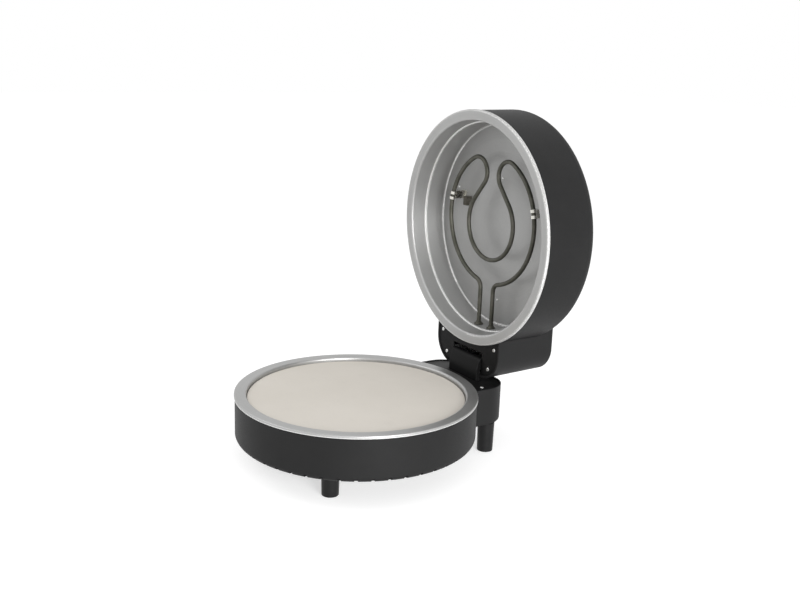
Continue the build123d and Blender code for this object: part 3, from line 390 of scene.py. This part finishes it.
# ---- small pieces ------------------------------------------------------------
def piece(name, mesh_maker, material, body, smooth=True):
    """A new mesh object from a bmesh builder, riding on a body."""
    built = bmesh.new()
    mesh_maker(built)
    bmesh.ops.recalc_face_normals(built, faces=built.faces)
    mesh = bpy.data.meshes.new(name)
    built.to_mesh(mesh)
    built.free()
    mesh.materials.append(material)
    if smooth:
        for polygon in mesh.polygons:
            polygon.use_smooth = True
    made = bpy.data.objects.new(name, mesh)
    bpy.context.scene.collection.objects.link(made)
    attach(made, body)


def prism(built, bottom, top):
    """Adds a closed prism between two loops of vertices of one length."""
    built.faces.new(bottom)
    built.faces.new(top)
    for i in range(len(bottom)):
        following = (i + 1) % len(bottom)
        built.faces.new([bottom[i], bottom[following], top[following], top[i]])


def turned(built, profile, spot, axis, steps):
    """Adds a solid of revolution: profile is (radius, height) pairs from spot along axis."""
    axis = axis.normalized()
    side = axis.orthogonal().normalized()
    other = axis.cross(side)
    rings = []
    for radius, height in profile:
        if radius == 0:
            rings.append([built.verts.new(spot + axis * height)])
            continue
        ring = []
        for step in range(steps):
            angle = 2 * math.pi * step / steps
            ring.append(built.verts.new(
                spot + axis * height + (side * math.cos(angle) + other * math.sin(angle)) * radius))
        rings.append(ring)
    for low, high in zip(rings, rings[1:]):
        for step in range(steps):
            following = (step + 1) % steps
            corners = [low[step % len(low)], low[following % len(low)],
                       high[following % len(high)], high[step % len(high)]]
            face = list(dict.fromkeys(corners))
            if len(face) > 2:
                built.faces.new(face)


UP = Vector((0, 0, 1))
LID_IN = Vector((0, -1, 0))           # out of the reflector plate, towards its mouth
LID_BACK = Vector((0, 1, 0))

# Domed rivet heads on the reflector plate.
PLATE_DEPTH = 0.0595
PLATE_RIVETS = [(-0.0040, -0.0724), (-0.0010, 0.1156), (-0.1140, -0.0450)]
RIVET_STEPS = 20
DOME = [(0.0021, -0.0004), (0.0021, 0.0002), (0.0018, 0.0008), (0.0011, 0.0013), (0, 0.0015)]


def plate_rivet_domes(built):
    for x, y in PLATE_RIVETS:
        turned(built, DOME, lid_point(x, y, PLATE_DEPTH), LID_IN, RIVET_STEPS)


piece("plate_rivets", plate_rivet_domes, ZINC, "lid")

# Flanged collars where the cold legs of an element pass the wall of its pan.
LEG_X = 0.0155
LID_LEG_END = 0.1538                  # where a leg meets the wall, from the round axis
LID_LEG_DEPTH = 0.0370
BASE_LEG_END = 0.1480
BASE_LEG_DEPTH = 0.030
COLLAR_STEPS = 28
COLLAR = [(0.0035, -0.0012), (0.0068, -0.0012), (0.0068, 0.0004), (0.0060, 0.0011),
          (0.0047, 0.0013), (0.0044, 0.0034), (0.0035, 0.0036), (0.0035, -0.0012)]


def lid_collars(built):
    for x in (-LEG_X, LEG_X):
        turned(built, COLLAR, lid_point(x, LID_LEG_END, LID_LEG_DEPTH), UP, COLLAR_STEPS)


def base_collars(built):
    for x in (-LEG_X, LEG_X):
        spot = Vector((x, AXIS_Y + BASE_LEG_END, RING_Z - BASE_LEG_DEPTH))
        turned(built, COLLAR, spot, Vector((0, -1, 0)), COLLAR_STEPS)


piece("lid_leg_collars", lid_collars, ELEMENT, "lid")
piece("base_leg_collars", base_collars, ELEMENT, "base")


CROSS_REACH = 0.0015
CROSS_HALF_WIDTH = 0.0003
CROSS_RISE = 0.00005                  # proud of the screw's head
CROSS_SINK = 0.0002
BOX_SIDES = ((0, 1, 2, 3), (4, 5, 6, 7), (0, 1, 5, 4), (1, 2, 6, 5), (2, 3, 7, 6), (3, 0, 4, 7))


def cross_recesses(built, spots, axis):
    """Thin dark crosses laid on the screw heads as painted shade of their cross recesses, each screw
    turned differently.
    """
    side = axis.orthogonal().normalized()
    other = axis.cross(side)
    for number, spot in enumerate(spots):
        turn = 0.5 + 1.1 * number
        first = side * math.cos(turn) + other * math.sin(turn)
        second = axis.cross(first)
        for long, short in ((first, second), (second, first)):
            corners = []
            for height in (-CROSS_SINK, CROSS_RISE):
                for a, b in ((-1, -1), (1, -1), (1, 1), (-1, 1)):
                    corners.append(built.verts.new(
                        spot + axis * height + long * a * CROSS_REACH + short * b * CROSS_HALF_WIDTH))
            for face in BOX_SIDES:
                built.faces.new([corners[i] for i in face])


SCREW_HEAD = 0.0012
LID_SCREW_SEAT = 0.0062               # from the rim plane
BASE_SCREW_SEAT = 0.0042              # below the ring
lid_screws = [lid_point(x, y, LID_SCREW_SEAT - SCREW_HEAD)
              for x, y in ((-0.065, 0.172), (0.065, 0.172), (-0.053, 0.205), (0.053, 0.205))]
base_screws = [Vector((x, AXIS_Y + y, RING_Z - BASE_SCREW_SEAT + SCREW_HEAD))
               for x, y in ((0.064, 0.178), (-0.048, 0.211))]
piece("lid_screw_crosses", lambda built: cross_recesses(built, lid_screws, LID_IN), RECESS,
      "lid", False)
piece("base_screw_crosses", lambda built: cross_recesses(built, base_screws, UP), RECESS,
      "base", False)

# ---- dial ticks, numbers and the knob's pointer ------------------------------
DIAL_FACE = 0.113                     # from the rim plane
KNOB_TOP = 0.1296
KNOB_Y = 0.176                        # from the lid's round axis
FIRST_ANGLE = math.radians(-45)       # number 0
SWEEP = math.radians(270)             # up to the last number
LAST_NUMBER = 6
TICKS_PER_NUMBER = 5
TICK_OUTER = 0.0252
TICK_INNER = 0.0232
TICK_HALF_WIDTH = 0.0003
MAIN_TICK_INNER = 0.0224
MAIN_TICK_HALF_WIDTH = 0.0005
TICK_SINK = 0.0001                    # into the dial's face
TICK_THICKNESS = 0.00016
NUMBER_RADIUS = 0.0285
NUMBER_SIZE = 0.0056
NUMBER_RISE = 0.00002
NUMBER_HALF_THICKNESS = 0.00005
POINTER_INNER = 0.0085
POINTER_OUTER = 0.0182
POINTER_HALF_WIDTH = 0.0007
POINTER_SINK = 0.0002                 # into the knob's top
POINTER_RISE = 0.0001
POINTER_STEPS = 8                     # of each round end


def placed(right, up, back, spot):
    """Matrix of an object with these three axes at a spot."""
    return Matrix((
        (right.x, up.x, back.x, spot.x), (right.y, up.y, back.y, spot.y),
        (right.z, up.z, back.z, spot.z), (0, 0, 0, 1)))


def dial_spot(angle, radius, depth):
    return lid_point(radius * math.cos(angle), KNOB_Y - radius * math.sin(angle), depth)


def outward(angle):
    """Unit vectors along a radius of the dial and across it."""
    along = (dial_spot(angle, 1, 0) - dial_spot(angle, 0, 0)).normalized()
    return along, LID_BACK.cross(along).normalized()


def dial_ticks(built):
    ticks = LAST_NUMBER * TICKS_PER_NUMBER
    for step in range(ticks + 1):
        angle = FIRST_ANGLE + SWEEP * step / ticks
        main = step % TICKS_PER_NUMBER == 0
        inner = MAIN_TICK_INNER if main else TICK_INNER
        side = outward(angle)[1] * (MAIN_TICK_HALF_WIDTH if main else TICK_HALF_WIDTH)
        low = dial_spot(angle, inner, DIAL_FACE - TICK_SINK)
        high = dial_spot(angle, TICK_OUTER, DIAL_FACE - TICK_SINK)
        corners = [low - side, low + side, high + side, high - side]
        prism(built, [built.verts.new(c) for c in corners],
              [built.verts.new(c + LID_BACK * TICK_THICKNESS) for c in corners])


piece("dial_ticks", dial_ticks, PRINT, "lid", False)

for step in range(LAST_NUMBER + 1):
    angle = FIRST_ANGLE + SWEEP * step / LAST_NUMBER
    figure = bpy.data.curves.new(f"dial_number_{step}", "FONT")
    figure.body = str(step)
    figure.size = NUMBER_SIZE
    figure.align_x = "CENTER"
    figure.align_y = "CENTER"
    figure.extrude = NUMBER_HALF_THICKNESS
    figure.materials.append(PRINT)
    number = bpy.data.objects.new(f"dial_number_{step}", figure)
    bpy.context.scene.collection.objects.link(number)
    number.matrix_world = placed(
        Vector((-1, 0, 0)), UP, LID_BACK, dial_spot(angle, NUMBER_RADIUS, DIAL_FACE + NUMBER_RISE))
    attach(number, "lid")


def pointer(built):
    """Painted bar with round ends on the knob's top, at the first number."""
    along, side = outward(FIRST_ANGLE)
    outline = []
    for radius, hand in ((POINTER_INNER, 1), (POINTER_OUTER, -1)):
        for step in range(POINTER_STEPS + 1):
            turn = math.pi * step / POINTER_STEPS
            reach = radius - hand * POINTER_HALF_WIDTH * math.sin(turn)
            outline.append(along * reach + side * hand * POINTER_HALF_WIDTH * math.cos(turn))
    centre = lid_point(0, KNOB_Y, KNOB_TOP)
    prism(built, [built.verts.new(centre + p - LID_BACK * POINTER_SINK) for p in outline],
          [built.verts.new(centre + p + LID_BACK * POINTER_RISE) for p in outline])


piece("knob_pointer", pointer, WHITE, "knob", False)


# ---- studio --------------------------------------------------------------------
FLOOR_REACH = 9.0
FLOOR_SHADE = 0.55
FLOOR_GLOW = 0.62                     # brings the lit floor up to white
SOFT_LOW, SOFT_HIGH = 0.60, 0.80      # light from the horizon and from above


def seen_directly(tree):
    """1 for rays from the camera, from gloss and through glass, 0 for those that light."""
    ray = tree.nodes.new("ShaderNodeLightPath")
    total = ray.outputs["Is Camera Ray"]
    for kind in ("Is Glossy Ray", "Is Transmission Ray"):
        add = tree.nodes.new("ShaderNodeMath")
        add.operation = "ADD"
        add.use_clamp = True
        tree.links.new(total, add.inputs[0])
        tree.links.new(ray.outputs[kind], add.inputs[1])
        total = add.outputs[0]
    return total


floor_mesh = bpy.data.meshes.new("floor")
floor_corners = [(x * FLOOR_REACH, y * FLOOR_REACH, 0) for x, y in ((-1, -1), (1, -1), (1, 1), (-1, 1))]
floor_mesh.from_pydata(floor_corners, [], [(0, 1, 2, 3)])
floor = bpy.data.objects.new("floor", floor_mesh)
bpy.context.scene.collection.objects.link(floor)
paper = bpy.data.materials.new("floor_paper")
paper.use_nodes = True
tree = paper.node_tree
tree.nodes.clear()
diffuse = tree.nodes.new("ShaderNodeBsdfDiffuse")
diffuse.inputs["Color"].default_value = (FLOOR_SHADE, FLOOR_SHADE, FLOOR_SHADE, 1)
glow = tree.nodes.new("ShaderNodeEmission")
glow.inputs["Color"].default_value = (1, 1, 1, 1)
gain = tree.nodes.new("ShaderNodeMath")
gain.operation = "MULTIPLY"
gain.inputs[1].default_value = FLOOR_GLOW
tree.links.new(seen_directly(tree), gain.inputs[0])
tree.links.new(gain.outputs[0], glow.inputs["Strength"])
both = tree.nodes.new("ShaderNodeAddShader")
tree.links.new(diffuse.outputs[0], both.inputs[0])
tree.links.new(glow.outputs[0], both.inputs[1])
surface = tree.nodes.new("ShaderNodeOutputMaterial")
tree.links.new(both.outputs[0], surface.inputs[0])
floor_mesh.materials.append(paper)

world = bpy.data.worlds.new("studio")
bpy.context.scene.world = world
world.use_nodes = True
tree = world.node_tree
tree.nodes.clear()
where = tree.nodes.new("ShaderNodeTexCoord")
split = tree.nodes.new("ShaderNodeSeparateXYZ")
tree.links.new(where.outputs["Generated"], split.inputs[0])
height = tree.nodes.new("ShaderNodeMapRange")
height.interpolation_type = "SMOOTHSTEP"
height.inputs["From Min"].default_value = -0.05
height.inputs["From Max"].default_value = 0.9
height.inputs["To Min"].default_value = SOFT_LOW
height.inputs["To Max"].default_value = SOFT_HIGH
tree.links.new(split.outputs["Z"], height.inputs["Value"])
soft = tree.nodes.new("ShaderNodeBackground")
soft.inputs["Color"].default_value = (1, 1, 1, 1)
tree.links.new(height.outputs["Result"], soft.inputs["Strength"])
plain = tree.nodes.new("ShaderNodeBackground")
plain.inputs["Color"].default_value = (1, 1, 1, 1)
plain.inputs["Strength"].default_value = 1.0
pick = tree.nodes.new("ShaderNodeMixShader")
tree.links.new(seen_directly(tree), pick.inputs[0])
tree.links.new(soft.outputs[0], pick.inputs[1])
tree.links.new(plain.outputs[0], pick.inputs[2])
surface = tree.nodes.new("ShaderNodeOutputWorld")
tree.links.new(pick.outputs[0], surface.inputs[0])


def softbox(name, place, target, width, height, power):
    light = bpy.data.lights.new(name, "AREA")
    light.shape = "RECTANGLE"
    light.size = width
    light.size_y = height
    light.energy = power
    made = bpy.data.objects.new(name, light)
    bpy.context.scene.collection.objects.link(made)
    made.location = place
    made.rotation_euler = (Vector(target) - Vector(place)).to_track_quat("-Z", "Y").to_euler()


softbox("key_box", (-1.2, -1.8, 2.0), (0, 0, 0.15), 1.8, 1.4, 13.0)
softbox("top_box", (0.3, 0.1, 2.4), (0, 0, 0.1), 1.8, 1.4, 3.0)
softbox("side_box", (2.3, -0.35, 0.60), (0, 0.1, 0.3), 0.9, 0.9, 60.0)

# ---- camera ----------------------------------------------------------------------
FRAME_WIDTH = 800                     # pixels
FOCAL_LENGTH = 1013.6                 # pixels
SENSOR_WIDTH = 36.0
BEARING = math.radians(56.972)        # from the front towards the right
RISE = math.radians(14.335)
ROLL = math.radians(1.931)
DISTANCE = 1.4276
LOOKED_AT = Vector((0.03161, 0.04862 + AXIS_Y, 0.13671 + RING_Z))

camera_data = bpy.data.cameras.new("camera")
camera_data.sensor_fit = "HORIZONTAL"
camera_data.sensor_width = SENSOR_WIDTH
camera_data.lens = FOCAL_LENGTH * SENSOR_WIDTH / FRAME_WIDTH
camera_data.clip_start = 0.05
camera_data.clip_end = 60
camera = bpy.data.objects.new("camera", camera_data)
bpy.context.scene.collection.objects.link(camera)
back = Vector((math.sin(BEARING) * math.cos(RISE), -math.cos(BEARING) * math.cos(RISE), math.sin(RISE)))
across = Vector((math.cos(BEARING), math.sin(BEARING), 0))
upward = back.cross(across)
right = across * math.cos(ROLL) + upward * math.sin(ROLL)
up = -across * math.sin(ROLL) + upward * math.cos(ROLL)
camera.matrix_world = placed(right, up, back, LOOKED_AT + back * DISTANCE)
bpy.context.scene.camera = camera
bpy.context.scene.view_settings.view_transform = "Standard"
